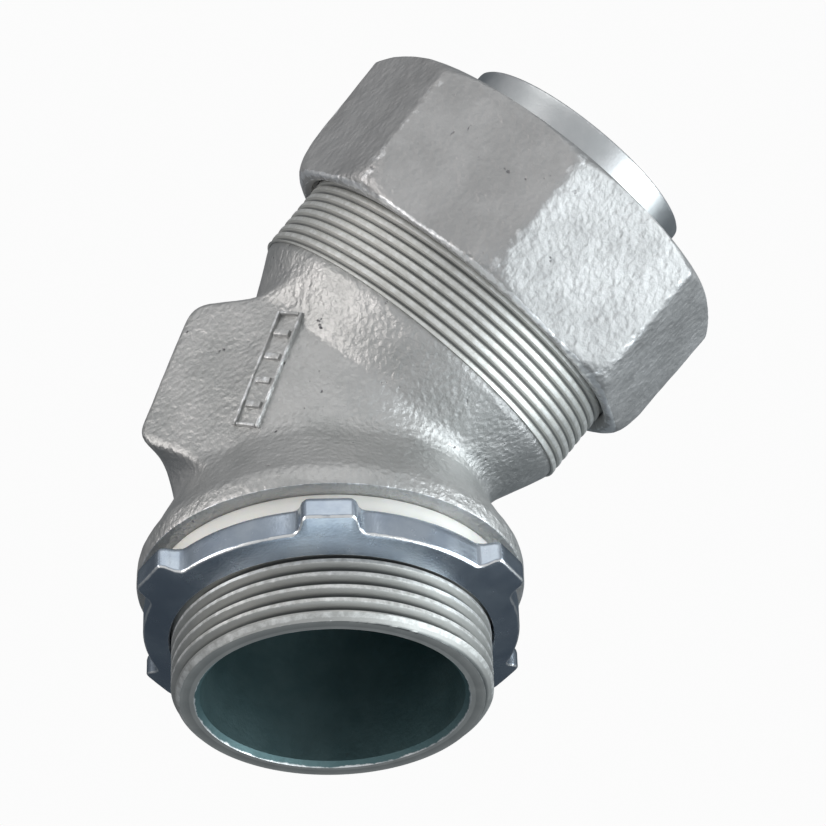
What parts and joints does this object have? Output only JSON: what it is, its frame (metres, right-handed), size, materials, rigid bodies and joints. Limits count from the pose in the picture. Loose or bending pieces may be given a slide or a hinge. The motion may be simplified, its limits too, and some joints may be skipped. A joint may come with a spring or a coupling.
{
  "type": "conduit compression fitting",
  "caption": "Angled compression fitting for flexible conduit, with threaded hub, sealing washer and locknut, and an octagonal gland nut over a sealing ring and ferrule.",
  "frame": {"origin": "where the hub axis meets the seat of the hub shoulder, the plane that bears on the sealing washer", "axes": "-Z along the hub axis, out of the enclosure side; the gland axis leaves up and toward +X, 45 degrees from +Z; Y is across the bend"},
  "size_m": [0.0936, 0.068, 0.1058],
  "materials": {
    "body_casting": "zinc coated, grainy, satin",
    "nut_casting": "zinc coated, grainy, satin",
    "locknut_zinc": "bright zinc plate",
    "ferrule_zinc": "bright zinc plate",
    "washer_nylon": "smooth, natural nylon",
    "ring_nylon": "smooth, natural nylon"
  },
  "bodies": {
    "body": {"body": "body_casting"},
    "sealing_washer": {"sealing_washer": "washer_nylon"},
    "locknut": {"locknut": "locknut_zinc"},
    "sealing_ring": {"sealing_ring": "ring_nylon"},
    "gland_nut": {"gland_nut": "nut_casting"},
    "ferrule": {"ferrule": "ferrule_zinc"}
  },
  "joints": [
    {"name": "seal_slide", "type": "slide", "parent": "body", "child": "sealing_washer", "axis": [0, 0, -1], "range_m": [0, 0.0133]},
    {"name": "locknut_turn", "type": "hinge", "parent": "sealing_washer", "child": "locknut", "pos_m": [0, 0, -0.006], "axis": [0, 0, -1], "range_deg": [0, 2160]},
    {"name": "nut_slide", "type": "slide", "parent": "body", "child": "sealing_ring", "axis": [0.7071, 0, 0.7071], "range_m": [0, 0.01113]},
    {"name": "nut_turn", "type": "hinge", "parent": "sealing_ring", "child": "gland_nut", "pos_m": [0, 0, 0.0243], "axis": [0.7071, 0, 0.7071], "range_deg": [0, 2520]},
    {"name": "ferrule_slide", "type": "slide", "parent": "body", "child": "ferrule", "axis": [0.7071, 0, 0.7071], "range_m": [0, 0.03]}
  ],
  "couplings": [
    {"joint": "seal_slide", "follows": "locknut_turn", "m_per_rad": 0.00035157},
    {"joint": "nut_slide", "follows": "nut_turn", "m_per_rad": 0.00025266}
  ]
}
